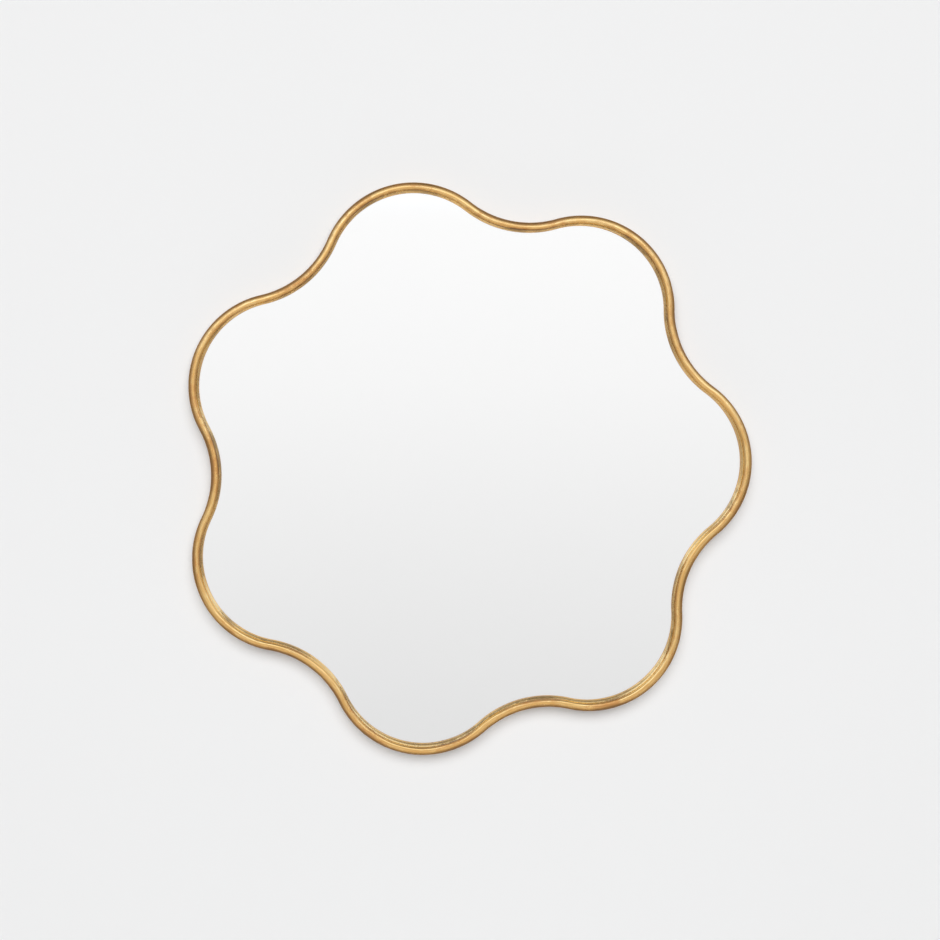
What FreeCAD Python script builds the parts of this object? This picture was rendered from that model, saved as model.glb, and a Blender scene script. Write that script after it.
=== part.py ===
"""Wavy wall mirror: a round metal bead bent into a seven-lobed outline, carrying a mirror pane.

Frame: +X right and +Z up as the mirror is looked at, -Y towards the viewer. The wall is the
plane y = 0, and the origin is the middle of the outline on that plane. A depth is a distance
from the wall towards the viewer, so a point at depth d has y = -d. Millimetres and degrees.
Left and right are those of the viewer.
"""
import FreeCAD, Part
import math
import os
from enum import IntEnum, auto

import Sketcher
from FreeCAD import Placement, Rotation, Vector

LOBES = 7

# How far each hand-bent lobe stands out of the even ring, and to its side, anticlockwise.
LOBE_OUT = [-0.7, 1.9, 0.1, 0.1, 1.6, 1.3, -0.1]
LOBE_SIDE = [0.2, -0.1, -1.3, -0.5, 0.8, 0.5, 1.0]

# The driving dimensions: name, value, what it is.
SIZES = [
    ("lobe_ring", 316.1, "radius of the circle that the lobes' middles stand on"),
    ("lobe_radius", 142.8, "bend radius of a lobe, to the middle of the bead"),
    ("valley_radius", 160.5, "bend radius of a valley, to the middle of the bead"),
    ("outline_turn", 1.5, "angle of the first lobe above the X axis, in degrees"),
    ("bead_radius", 6.5, "outer radius of the round bead"),
    ("bead_wall", 1.5, "wall of the bead's tube"),
    ("band_thickness", 1.5, "flat band welded behind the bead"),
    ("band_setback", 0.5, "how far the band's outer face hides inside the bead's edge"),
    ("band_behind_board", 3.0, "how far the band stands out behind the board"),
    ("wall_gap", 6.0, "height of the bumpers, which is the gap behind the board"),
    ("board_thickness", 6.0, "backing board"),
    ("foam_thickness", 1.0, "foam sheet between the board and the pane"),
    ("silver_thickness", 0.2, "silver coating with its back paint"),
    ("glass_thickness", 4.0, "clear glass pane"),
    ("plate_clearance", 0.5, "gap between the plates' edges and the tabs' legs"),
    ("seat_gap", 0.2, "gap left where a curved face meets what it rests on"),
    ("tab_thickness", 1.0, "sheet of the bent tabs"),
    ("tab_width", 16.0, "width of a tab"),
    ("tab_leg", 9.0, "length of the leg that is welded inside the band"),
    ("tab_reach", 24.0, "length of the flange that is bent over the board"),
    ("tab_corner", 5.0, "rounding of the flange's free corners"),
    ("tab_hole_inset", 9.0, "distance of a tab's hole from the flange's free end"),
    ("screw_radius", 1.5, "shank radius of the wood screws"),
    ("screw_point", 1.5, "length of a screw's pointed end"),
    ("screw_point_radius", 0.25, "radius of the blunt tip"),
    ("screw_cover", 1.0, "board left between a screw's tip and the board's front"),
    ("pilot_extra", 0.4, "how far a pilot hole goes on past the screw's tip"),
    ("pilot_fit", 0.1, "radial gap of a shank in the board"),
    ("sheet_hole_fit", 0.3, "radial gap of a shank in a sheet-metal hole"),
    ("head_radius", 3.0, "radius of a pan head"),
    ("head_height", 2.2, "height of a pan head"),
    ("head_round", 1.3, "rounding of a pan head's rim"),
    ("recess_length", 3.2, "length of a stroke of the cross recess"),
    ("recess_width", 0.8, "width of a stroke of the cross recess"),
    ("recess_depth", 1.2, "depth of the cross recess"),
    ("hanger_side", 190.0, "distance of a hanger from the middle, sideways"),
    ("hanger_height", 175.0, "height of the rings' pivots above the middle"),
    ("strap_thickness", 0.9, "sheet that is folded double into a hanger strap"),
    ("strap_width", 13.0, "width of a hanger strap"),
    ("strap_length", 48.0, "length of a strap below the pivot"),
    ("strap_corner", 5.0, "rounding of the strap's lower corners"),
    ("strap_hole_low", 8.0, "distance of the lower screw from the strap's end"),
    ("ring_head_gap", 2.5, "gap between the hanging ring's bow and the upper screw's head"),
    ("wire_radius", 1.5, "radius of the D-ring's wire"),
    ("ring_width", 22.0, "width of the D-ring, to the middle of its wire"),
    ("ring_corner", 4.0, "bend radius beside the D-ring's straight bar"),
    ("ring_side", 2.0, "length of the D-ring's straight sides"),
    ("hinge_fit", 0.06, "radial gap of the ring's bar in the strap's eye"),
    ("ring_rest_gap", 0.3, "gap between the hanging ring and the strap it leans on"),
    ("bumper_radius", 9.0, "radius of a bumper"),
    ("bumper_edge", 1.5, "rounding of a bumper where it meets the wall"),
    ("bumper_inset", 62.0, "distance of a bumper's middle from its lobe's tip"),
]

# Sizes that follow from the driving ones: name, formula.
DERIVED = [
    ("board_back", "wall_gap"),
    ("foam_back", "board_back + board_thickness"),
    ("silver_back", "foam_back + foam_thickness"),
    ("glass_back", "silver_back + silver_thickness"),
    ("glass_front", "glass_back + glass_thickness"),
    ("bead_depth", "glass_front + seat_gap + bead_radius"),
    ("bore_radius", "bead_radius - bead_wall"),
    ("band_outer", "bead_radius - band_setback"),
    ("band_inner", "band_outer - band_thickness"),
    ("band_back", "board_back - band_behind_board"),
    ("band_front", "bead_depth - sqrt(bead_radius ^ 2 - band_inner ^ 2) - seat_gap"),
    ("plate_edge", "band_inner - 2 * seat_gap - tab_thickness - plate_clearance"),
    ("flange_back", "board_back - tab_thickness"),
    ("tab_hole_down", "tab_reach - tab_hole_inset"),
    ("strap_stack", "2 * strap_thickness"),
    ("strap_back", "board_back - strap_stack"),
    ("eye_radius", "wire_radius + hinge_fit"),
    ("knuckle_radius", "eye_radius + strap_thickness"),
    ("ring_bow", "ring_width / 2"),
    ("ring_bar_half", "ring_bow - ring_corner"),
    ("ring_reach", "ring_corner + ring_side + ring_bow + wire_radius"),
    ("strap_hole_near", "ring_reach + ring_head_gap + head_radius"),
    ("strap_hole_pitch", "strap_length - strap_hole_low - strap_hole_near"),
    ("strap_hole_far", "strap_hole_near + strap_hole_pitch"),
    ("ring_over_strap", "ring_corner + ring_side + sqrt(ring_bow ^ 2 - (strap_width / 2) ^ 2)"),
    ("ring_stands_off", "strap_stack + ring_rest_gap + wire_radius - knuckle_radius"),
    ("ring_lean", "asin(ring_stands_off / ring_over_strap)"),
    ("pilot_radius", "screw_radius + pilot_fit"),
    ("pilot_depth", "board_thickness - screw_cover + pilot_extra"),
    ("sheet_hole_radius", "screw_radius + sheet_hole_fit"),
    ("point_angle", "-atan((screw_radius - screw_point_radius) / screw_point)"),
]


def make_sheet():
    """Write the driving and the derived sizes into one sheet, each under its own name."""
    sheet = DOC.addObject("Spreadsheet::Sheet", "Sizes")
    rows = [(name, str(value), note) for name, value, note in SIZES]
    for lobe in range(LOBES):
        out = str(LOBE_OUT[lobe % len(LOBE_OUT)])
        side = str(LOBE_SIDE[lobe % len(LOBE_SIDE)])
        rows.append((f"lobe_out_{lobe}", out, "how far a lobe stands out of the even ring"))
        rows.append((f"lobe_side_{lobe}", side, "how far a lobe stands to its side"))
    rows += [(name, "=" + formula, "follows from the sizes above") for name, formula in DERIVED]
    for row, (name, content, note) in enumerate(rows, start=1):
        sheet.set(f"A{row}", name)
        sheet.setAlias(f"B{row}", name)
        sheet.set(f"B{row}", content)
        sheet.set(f"C{row}", note)
    DOC.recompute()
    return sheet


class Spot(IntEnum):
    """The places of a line or an arc that a constraint can name, in their order."""

    START = auto()
    END = auto()
    CENTRE = auto()


DOC = FreeCAD.newDocument("wavy_mirror")
SHEET = make_sheet()


def size(formula):
    """The value of a size, or of a formula of sizes, each written as Sizes.name."""
    return float(SHEET.evalExpression(formula))


# ---------------------------------------------------------------- the wavy outline

def polar(radius, degrees):
    """A point of the outline's plane: x to the right, y for the model's height."""
    angle = math.radians(degrees)
    return Vector(radius * math.cos(angle), radius * math.sin(angle), 0)


def heading(start, end):
    """Angle of the line from start to end, in degrees."""
    return math.degrees(math.atan2(end.y - start.y, end.x - start.x))


def lobe_middle(lobe):
    """Middle of a lobe's bend, as two formulas."""
    lobe %= LOBES
    angle = f"(Sizes.outline_turn + 360 * {lobe} / {LOBES})"
    out = f"(Sizes.lobe_ring + Sizes.lobe_out_{lobe})"
    side = f"Sizes.lobe_side_{lobe}"
    return (
        f"{out} * cos{angle} - {side} * sin{angle}",
        f"{out} * sin{angle} + {side} * cos{angle}",
    )


def lobe_centre(lobe):
    """The same point, worked out."""
    x, y = lobe_middle(lobe)
    return Vector(size(x), size(y), 0)


def valley_centre(lobe):
    """Middle of the bend of the valley after a lobe, which touches both lobes from outside."""
    first, second = lobe_centre(lobe), lobe_centre(lobe + 1)
    along = second - first
    reach = size("Sizes.lobe_radius + Sizes.valley_radius")
    outward = Vector(along.y, -along.x, 0).normalize()
    return (first + second) / 2 + outward * math.sqrt(reach**2 - (along.Length / 2) ** 2)


def arc(centre, radius, start, end):
    """An arc about centre, anticlockwise from one heading to the other."""
    circle = Part.Circle(centre, Vector(0, 0, 1), radius)
    sweep = (end - start) % 360
    return Part.ArcOfCircle(circle, math.radians(start), math.radians(start + sweep))


def draw_outline(sketch, outset):
    """Draw the closed outline that lies a distance outside the bead's middle line."""
    lobe_size = f"Sizes.lobe_radius + {outset}"
    valley_size = f"Sizes.valley_radius - {outset}"
    for lobe in range(LOBES):
        middle, valley = lobe_centre(lobe), valley_centre(lobe)
        before, after = valley_centre(lobe - 1), lobe_centre(lobe + 1)
        start, end = heading(middle, before), heading(middle, valley)
        sketch.addGeometry(arc(middle, size(lobe_size), start, end))
        start, end = heading(valley, after), heading(valley, middle)
        sketch.addGeometry(arc(valley, size(valley_size), start, end))
    join_arcs(sketch)
    dimension(sketch, ("Radius", 0), lobe_size)
    dimension(sketch, ("Radius", 1), valley_size)
    for lobe in range(LOBES):
        place_point(sketch, (2 * lobe, Spot.CENTRE), lobe_middle(lobe))


def join_arcs(sketch):
    """Make every lobe and every valley alike, and each run smoothly into the next."""
    for lobe in range(LOBES):
        this, valley, following = 2 * lobe, 2 * lobe + 1, (2 * lobe + 2) % (2 * LOBES)
        sketch.addConstraint(Sketcher.Constraint("Tangent", this, Spot.END, valley, Spot.END))
        sketch.addConstraint(Sketcher.Constraint("Tangent", valley, Spot.START, following, Spot.START))
        if lobe > 0:
            sketch.addConstraint(Sketcher.Constraint("Equal", 0, this))
            sketch.addConstraint(Sketcher.Constraint("Equal", 1, valley))


# ---------------------------------------------------------------- sketches and features

def origin():
    """A sketch's own origin, as a constraint names it: the start of its X axis."""
    return -1, Spot.START


def dimension(sketch, what, formula):
    """Add one dimension to a sketch and tie it to its formula."""
    number = sketch.addConstraint(Sketcher.Constraint(*what, size(formula)))
    sketch.setExpression(f"Constraints[{number}]", formula)


def place_point(sketch, point, formulas):
    """Fix a point of a sketch by two coordinates, each tied to its formula."""
    for kind, formula in zip(("DistanceX", "DistanceY"), formulas):
        dimension(sketch, (kind, *origin(), *point), formula)


def draw_polygon(sketch, corners):
    """Draw a closed run of straight lines through corners, each a pair of formulas."""
    points = [Vector(size(x), size(y), 0) for x, y in corners]
    for start, end in zip(points, points[1:] + points[:1]):
        sketch.addGeometry(Part.LineSegment(start, end))
    for number, corner in enumerate(corners):
        following = (number + 1) % len(corners)
        sketch.addConstraint(Sketcher.Constraint("Coincident", number, Spot.END, following, Spot.START))
        place_point(sketch, (number, Spot.START), corner)


def draw_circles(sketch, centres, radius):
    """Draw equal circles about centres, each a pair of formulas."""
    for number, (x, y) in enumerate(centres):
        middle = Vector(size(x), size(y), 0)
        sketch.addGeometry(Part.Circle(middle, Vector(0, 0, 1), size(radius)))
        place_point(sketch, (number, Spot.CENTRE), (x, y))
        if number > 0:
            sketch.addConstraint(Sketcher.Constraint("Equal", 0, number))
    dimension(sketch, ("Radius", 0), radius)


def new_body(label):
    """A body whose label is the name of its file."""
    body = DOC.addObject("PartDesign::Body", label)
    body.Label = label
    return body


def new_sketch(body, name, role="XZ_Plane", depth="0"):
    """A sketch on one of the body's own planes. On XZ_Plane it lies at a depth."""
    plane = next(item for item in body.Origin.OriginFeatures if item.Role == role)
    sketch = body.newObject("Sketcher::SketchObject", f"{body.Label}_{name}")
    sketch.AttachmentSupport = [(plane, "")]
    sketch.MapMode = "FlatFace"
    sketch.setExpression(".AttachmentOffset.Base.z", depth)
    return sketch


def pad(body, name, sketch, length, **settings):
    """Raise a sketch along its normal, which on XZ_Plane is towards the viewer."""
    feature = body.newObject("PartDesign::Pad", f"{body.Label}_{name}")
    feature.Profile = sketch
    feature.setExpression("Length", length)
    for setting, value in settings.items():
        setattr(feature, setting, value)
    return feature


def pocket(body, name, sketch, length):
    """Cut a sketch out of the body along its normal, which takes some material away."""
    DOC.recompute()
    volume = body.Shape.Volume
    feature = body.newObject("PartDesign::Pocket", f"{body.Label}_{name}")
    feature.Profile = sketch
    feature.Reversed = True
    feature.setExpression("Length", length)
    DOC.recompute()
    if body.Shape.Volume >= volume:
        raise RuntimeError(f"{body.Label}_{name} cuts nothing")
    return feature


def round_edges(body, name, radius, chosen):
    """Round those edges of a body whose two ends, in the body's own frame, are chosen."""
    DOC.recompute()
    base = body.Tip
    edges = [
        f"Edge{number}"
        for number, edge in enumerate(base.Shape.Edges, start=1)
        if all(chosen(vertex.Point) for vertex in edge.Vertexes)
    ]
    feature = body.newObject("PartDesign::Fillet", f"{body.Label}_{name}")
    feature.Base = (base, edges)
    feature.setExpression("Radius", radius)
    return feature


def same(value, formula):
    """Whether a coordinate lies at a size."""
    return abs(value - size(formula)) < 1e-4


# ---------------------------------------------------------------- frame

def sweep_round(body, name, kind, path, radius):
    """Sweep a circle along the closed path, as a solid to add or to cut."""
    circle = body.newObject("Sketcher::SketchObject", f"{body.Label}_{name}_circle")
    circle.AttachmentSupport = [(path, "Edge1")]
    circle.MapMode = "NormalToEdge"
    circle.MapPathParameter = 0
    draw_circles(circle, [("0", "0")], radius)
    feature = body.newObject(f"PartDesign::{kind}", f"{body.Label}_{name}")
    feature.Profile = circle
    feature.Spine = (path, [])
    DOC.recompute()
    return feature


def frame_bead():
    """The round tube that shows from the front, closed into one hollow loop."""
    body = new_body("frame_bead")
    path = new_sketch(body, "path", depth="Sizes.bead_depth")
    draw_outline(path, "0")
    DOC.recompute()
    sweep_round(body, "tube", "AdditivePipe", path, "Sizes.bead_radius")
    sweep_round(body, "bore", "SubtractivePipe", path, "Sizes.bore_radius")


def frame_band():
    """The flat band on edge behind the bead, which goes round the pane and the board."""
    body = new_body("frame_band")
    outside = new_sketch(body, "outside", depth="Sizes.band_back")
    draw_outline(outside, "Sizes.band_outer")
    pad(body, "strip", outside, "Sizes.band_front - Sizes.band_back")
    inside = new_sketch(body, "inside", depth="Sizes.band_back")
    draw_outline(inside, "Sizes.band_inner")
    pocket(body, "opening", inside, "Sizes.band_front - Sizes.band_back")


# ---------------------------------------------------------------- pane and backing

def plate(label, back, thickness):
    """A flat plate of the wavy outline, lying inside the band."""
    body = new_body(label)
    sketch = new_sketch(body, "outline", depth=back)
    draw_outline(sketch, "Sizes.plate_edge")
    pad(body, "sheet", sketch, thickness)
    return body


def backing_board():
    """The board that closes the back, with a blind pilot hole for each screw."""
    body = plate("backing_board", "Sizes.board_back", "Sizes.board_thickness")
    holes = new_sketch(body, "pilot_circles", depth="Sizes.board_back")
    draw_circles(holes, tab_screw_places() + hanger_screw_places(), "Sizes.pilot_radius")
    pocket(body, "pilot_holes", holes, "Sizes.pilot_depth")


# ---------------------------------------------------------------- tabs

def lobe_tab_seat(lobe):
    """Where a tab stands inside a lobe: its corners just clear the hollow side of the band."""
    middle = lobe_centre(lobe)
    band = size("Sizes.lobe_radius + Sizes.band_inner")
    chord = math.sqrt(band**2 - size("Sizes.tab_width / 2") ** 2)
    return middle + polar(chord - size("Sizes.seat_gap"), heading(Vector(), middle))


def valley_tab_seat(lobe):
    """Where a tab stands in the valley after a lobe, on the band's bulging side."""
    middle = valley_centre(lobe)
    band = size("Sizes.valley_radius - Sizes.band_inner")
    return middle - polar(band + size("Sizes.seat_gap"), heading(Vector(), middle))


def tab_seats():
    """Name and seat of every tab."""
    seats = []
    for lobe in range(LOBES):
        seats.append((f"lobe_tab_{lobe + 1}", lobe_tab_seat(lobe)))
        seats.append((f"valley_tab_{lobe + 1}", valley_tab_seat(lobe)))
    return seats


def tab_screw_places():
    """The middle of each tab's hole, in the outline's plane."""
    places = []
    for _, seat in tab_seats():
        hole = seat - polar(size("Sizes.tab_hole_down"), heading(Vector(), seat))
        places.append((str(hole.x), str(hole.y)))
    return places


def tab(label, seat):
    """A tongue of sheet: a leg inside the band, and a flange bent over the board.

    In its own frame +Z points out of the outline and y = 0 is the wall.
    """
    body = new_body(label)
    profile = new_sketch(body, "profile", "YZ_Plane")
    back, front = "-Sizes.flange_back", "-Sizes.board_back"
    leg_end = "-(Sizes.flange_back + Sizes.tab_leg)"
    corners = [
        (back, "0"),
        (leg_end, "0"),
        (leg_end, "-Sizes.tab_thickness"),
        (front, "-Sizes.tab_thickness"),
        (front, "-Sizes.tab_reach"),
        (back, "-Sizes.tab_reach"),
    ]
    draw_polygon(profile, corners)
    pad(body, "sheet", profile, "Sizes.tab_width", Midplane=True)
    hole = new_sketch(body, "hole_circle", depth="Sizes.flange_back")
    draw_circles(hole, [("0", "-Sizes.tab_hole_down")], "Sizes.sheet_hole_radius")
    pocket(body, "hole", hole, "Sizes.tab_thickness")
    on_bend = lambda point: same(point.y, back) and same(point.z, "0")
    round_edges(body, "bend", "Sizes.tab_thickness", on_bend)
    at_end = lambda point: same(point.z, "-Sizes.tab_reach")
    round_corners(body, "corners", "Sizes.tab_corner", at_end)
    turn = Rotation(Vector(0, 1, 0), 90 - heading(Vector(), seat))
    body.Placement = Placement(Vector(seat.x, 0, seat.y), turn)


def round_corners(body, name, radius, chosen):
    """Round the short corner edges, those along the depth, at the chosen end of a sheet."""
    DOC.recompute()
    base = body.Tip
    edges = []
    for number, edge in enumerate(base.Shape.Edges, start=1):
        ends = [vertex.Point for vertex in edge.Vertexes]
        if len(ends) == 2 and all(map(chosen, ends)) and abs(ends[0].x - ends[1].x) < 1e-6:
            edges.append(f"Edge{number}")
    feature = body.newObject("PartDesign::Fillet", f"{body.Label}_{name}")
    feature.Base = (base, edges)
    feature.setExpression("Radius", radius)


# ---------------------------------------------------------------- screws

def draw_crosses(sketch, centres):
    """Draw a cross of two equal strokes about each centre."""
    long, wide = size("Sizes.recess_length / 2"), size("Sizes.recess_width / 2")
    quarter = [Vector(long, -wide, 0), Vector(long, wide, 0), Vector(wide, wide, 0)]
    turns = [Rotation(Vector(0, 0, 1), 90 * step) for step in range(4)]
    corners = [turn.multVec(corner) for turn in turns for corner in quarter]
    for x, y in centres:
        middle = Vector(size(x), size(y), 0)
        points = [middle + corner for corner in corners]
        for start, end in zip(points, points[1:] + points[:1]):
            number = sketch.addGeometry(Part.LineSegment(start, end))
            sketch.addConstraint(Sketcher.Constraint("Block", number))


def screws(label, centres, seat, sheet):
    """A set of pan-head wood screws with the heads' undersides at a depth, through a sheet."""
    body = new_body(label)
    body.AllowCompound = True
    shank_length = f"{sheet} + Sizes.board_thickness - Sizes.screw_cover - Sizes.screw_point"
    head = new_sketch(body, "head_circles", depth=f"{seat} - Sizes.head_height")
    draw_circles(head, centres, "Sizes.head_radius")
    pad(body, "heads", head, "Sizes.head_height")
    rim = lambda point: same(point.y, f"Sizes.head_height - ({seat})")
    round_edges(body, "rims", "Sizes.head_round", rim)
    shank = new_sketch(body, "shank_circles", depth=seat)
    draw_circles(shank, centres, "Sizes.screw_radius")
    pad(body, "shanks", shank, shank_length)
    point = new_sketch(body, "point_circles", depth=f"{seat} + {shank_length}")
    draw_circles(point, centres, "Sizes.screw_radius")
    points = pad(body, "points", point, "Sizes.screw_point")
    points.setExpression("TaperAngle", "Sizes.point_angle")
    cross = new_sketch(body, "crosses", depth=f"{seat} - Sizes.head_height")
    draw_crosses(cross, centres)
    pocket(body, "recesses", cross, "Sizes.recess_depth")


def hanger_screw_places():
    """The middle of each strap screw, as formulas in the outline's plane."""
    return [
        (f"{side} * Sizes.hanger_side", f"Sizes.hanger_height - Sizes.{down}")
        for side in (-1, 1)
        for down in ("strap_hole_near", "strap_hole_far")
    ]


# ---------------------------------------------------------------- hangers

def place_at_pivot(body, side):
    """Put a body's own origin at the pivot of the hanger on that side."""
    body.setExpression(".Placement.Base.x", f"{side} * Sizes.hanger_side")
    body.setExpression(".Placement.Base.y", "Sizes.knuckle_radius - Sizes.board_back")
    body.setExpression(".Placement.Base.z", "Sizes.hanger_height")


def hanger_strap(label, side):
    """A strap folded double round the ring's bar. Its own origin is the pivot."""
    body = new_body(label)
    front = "-Sizes.knuckle_radius"
    back = "Sizes.strap_stack - Sizes.knuckle_radius"
    slope = "Sizes.knuckle_radius * cos(45)"
    corners = [
        ("0", "0"),
        (front, "0"),
        (front, "-Sizes.strap_length"),
        (back, "-Sizes.strap_length"),
        (back, f"Sizes.strap_stack - Sizes.knuckle_radius - 2 * {slope}"),
        (slope, f"-{slope}"),
    ]
    profile = new_sketch(body, "profile", "YZ_Plane")
    draw_polygon(profile, corners)
    pad(body, "sheet", profile, "Sizes.strap_width", Midplane=True)
    roll = new_sketch(body, "roll_circle", "YZ_Plane")
    draw_circles(roll, [("0", "0")], "Sizes.knuckle_radius")
    pad(body, "roll", roll, "Sizes.strap_width", Midplane=True)
    eye = new_sketch(body, "eye_circle", "YZ_Plane", depth="-Sizes.strap_width / 2")
    draw_circles(eye, [("0", "0")], "Sizes.eye_radius")
    pocket(body, "eye", eye, "Sizes.strap_width")
    holes = new_sketch(body, "hole_circles", depth=f"-({back})")
    downs = ("strap_hole_near", "strap_hole_far")
    draw_circles(holes, [("0", f"-Sizes.{down}") for down in downs], "Sizes.sheet_hole_radius")
    pocket(body, "holes", holes, "Sizes.strap_stack")
    at_end = lambda point: same(point.z, "-Sizes.strap_length")
    round_corners(body, "corners", "Sizes.strap_corner", at_end)
    place_at_pivot(body, side)


def draw_ring(sketch):
    """The D-ring's middle line: two half bars, two corners, two sides and the round bow."""
    half, bow, corner = size("Sizes.ring_bar_half"), size("Sizes.ring_bow"), size("Sizes.ring_corner")
    low = corner + size("Sizes.ring_side")
    sketch.addGeometry(Part.LineSegment(Vector(0, 0, 0), Vector(half, 0, 0)))
    sketch.addGeometry(arc(Vector(half, -corner, 0), corner, 0, 90))
    sketch.addGeometry(Part.LineSegment(Vector(bow, -corner, 0), Vector(bow, -low, 0)))
    sketch.addGeometry(arc(Vector(0, -low, 0), bow, 180, 0))
    sketch.addGeometry(Part.LineSegment(Vector(-bow, -low, 0), Vector(-bow, -corner, 0)))
    sketch.addGeometry(arc(Vector(-half, -corner, 0), corner, 90, 180))
    sketch.addGeometry(Part.LineSegment(Vector(-half, 0, 0), Vector(0, 0, 0)))
    bar, right_corner, right, bow_arc, left, left_corner, other_bar = range(7)
    joints = [
        (bar, Spot.END, right_corner, Spot.END),
        (right_corner, Spot.START, right, Spot.START),
        (right, Spot.END, bow_arc, Spot.END),
        (bow_arc, Spot.START, left, Spot.START),
        (left, Spot.END, left_corner, Spot.END),
        (left_corner, Spot.START, other_bar, Spot.START),
    ]
    for joint in joints:
        sketch.addConstraint(Sketcher.Constraint("Tangent", *joint))
    sketch.addConstraint(Sketcher.Constraint("Coincident", bar, Spot.START, *origin()))
    sketch.addConstraint(Sketcher.Constraint("Coincident", other_bar, Spot.END, *origin()))
    for line in (bar, other_bar):
        sketch.addConstraint(Sketcher.Constraint("Horizontal", line))
    for line in (right, left):
        sketch.addConstraint(Sketcher.Constraint("Vertical", line))
    sketch.addConstraint(Sketcher.Constraint("Equal", bar, other_bar))
    sketch.addConstraint(Sketcher.Constraint("Equal", right_corner, left_corner))
    dimension(sketch, ("DistanceX", bar, Spot.START, bar, Spot.END), "Sizes.ring_bar_half")
    dimension(sketch, ("Radius", right_corner), "Sizes.ring_corner")
    dimension(sketch, ("DistanceY", right, Spot.END, right, Spot.START), "Sizes.ring_side")


def hanger_ring(label, side):
    """A wire D-ring on the strap's eye, hanging down and leaning on the strap."""
    body = new_body(label)
    path = new_sketch(body, "path")
    draw_ring(path)
    section = new_sketch(body, "section", "YZ_Plane")
    draw_circles(section, [("0", "0")], "Sizes.wire_radius")
    DOC.recompute()
    wire = body.newObject("PartDesign::AdditivePipe", f"{label}_wire")
    wire.Profile = section
    wire.Spine = (path, [])
    body.Placement = Placement(Vector(), Rotation(Vector(1, 0, 0), size("Sizes.ring_lean")))
    place_at_pivot(body, side)


# ---------------------------------------------------------------- bumpers

def bumper(label, lobe):
    """A round rubber pad between the board and the wall, on the line of a lobe."""
    body = new_body(label)
    circle = new_sketch(body, "circle")
    draw_circles(circle, [("0", "0")], "Sizes.bumper_radius")
    pad(body, "block", circle, "Sizes.wall_gap")
    round_edges(body, "edge", "Sizes.bumper_edge", lambda point: same(point.y, "0"))
    middle = lobe_centre(lobe)
    out = size("Sizes.lobe_radius + Sizes.bead_radius - Sizes.bumper_inset")
    place = middle + polar(out, heading(Vector(), middle))
    body.Placement.Base = Vector(place.x, 0, place.y)


# ---------------------------------------------------------------- the whole mirror

def build():
    """Make every piece of the mirror."""
    frame_bead()
    frame_band()
    plate("mirror_glass", "Sizes.glass_back", "Sizes.glass_thickness")
    plate("silver_coating", "Sizes.silver_back", "Sizes.silver_thickness")
    plate("foam_sheet", "Sizes.foam_back", "Sizes.foam_thickness")
    backing_board()
    for label, seat in tab_seats():
        tab(label, seat)
    screws("tab_screws", tab_screw_places(), "Sizes.flange_back", "Sizes.tab_thickness")
    for name, side in (("left", -1), ("right", 1)):
        hanger_strap(f"hanger_strap_{name}", side)
        hanger_ring(f"hanger_ring_{name}", side)
    screws("hanger_screws", hanger_screw_places(), "Sizes.strap_back", "Sizes.strap_stack")
    for lobe in range(LOBES):
        bumper(f"bumper_{lobe + 1}", lobe)
    DOC.recompute()


def faults():
    """What is wrong with the finished document, as a list of words."""
    found = [f"{item.Name}: {item.State}" for item in DOC.Objects
             if {"Invalid", "Error"} & set(item.State)]
    for body in bodies():
        if body.Shape.isNull() or not body.Shape.isValid() or not body.Shape.Solids:
            found.append(f"{body.Label}: no valid solid")
    return found


def bodies():
    """Every piece, in the order it was made."""
    return [item for item in DOC.Objects if item.TypeId == "PartDesign::Body"]


build()
if faults():
    raise RuntimeError("; ".join(faults()))
os.makedirs("parts", exist_ok=True)
for piece in bodies():
    piece.Shape.exportStep(f"parts/{piece.Label}.step")
    print(piece.Label, len(piece.Shape.Solids), "solids", round(piece.Shape.Volume), "mm3")
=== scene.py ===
"""Looks of a wavy wall mirror: a gilded bead round a pane, with its board and hangers behind.

The frame is the part's own: +X right, +Z up, -Y towards the viewer, the wall at y = 0 and the
origin in the middle of the outline. A depth is a distance from the wall towards the viewer, so
a point at depth d has y = -d. Lengths are metres unless a name says otherwise.
"""
import logging
import math
import random
from abc import ABC, abstractmethod
from dataclasses import dataclass, field
from enum import Enum
from typing import Any, Iterable, Sequence

import bpy
from mathutils import Matrix, Vector, noise


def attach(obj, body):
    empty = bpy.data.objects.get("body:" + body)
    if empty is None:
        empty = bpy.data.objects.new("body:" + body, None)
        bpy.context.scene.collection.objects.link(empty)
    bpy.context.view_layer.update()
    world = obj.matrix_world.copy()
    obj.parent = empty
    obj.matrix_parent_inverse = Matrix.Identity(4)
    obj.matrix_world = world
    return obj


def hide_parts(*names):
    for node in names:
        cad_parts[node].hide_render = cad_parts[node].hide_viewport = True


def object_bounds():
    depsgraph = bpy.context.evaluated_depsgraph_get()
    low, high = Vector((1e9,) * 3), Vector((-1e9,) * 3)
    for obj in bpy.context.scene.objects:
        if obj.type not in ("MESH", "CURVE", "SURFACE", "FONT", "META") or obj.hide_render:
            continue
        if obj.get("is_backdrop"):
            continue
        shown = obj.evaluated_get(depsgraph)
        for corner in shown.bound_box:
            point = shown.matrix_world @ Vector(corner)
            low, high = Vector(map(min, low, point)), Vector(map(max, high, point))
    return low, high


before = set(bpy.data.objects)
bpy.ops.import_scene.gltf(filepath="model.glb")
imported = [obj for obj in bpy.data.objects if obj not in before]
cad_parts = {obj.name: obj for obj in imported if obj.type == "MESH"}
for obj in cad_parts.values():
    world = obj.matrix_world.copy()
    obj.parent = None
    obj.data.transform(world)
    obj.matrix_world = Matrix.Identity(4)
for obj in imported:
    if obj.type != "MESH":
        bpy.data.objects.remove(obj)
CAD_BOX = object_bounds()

LOG = logging.getLogger("wavy_mirror")
MM = 0.001
MIRROR = "mirror"

Colour = tuple[float, float, float]
Profile = list[tuple[float, float]]
Range = tuple[float, float]


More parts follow.
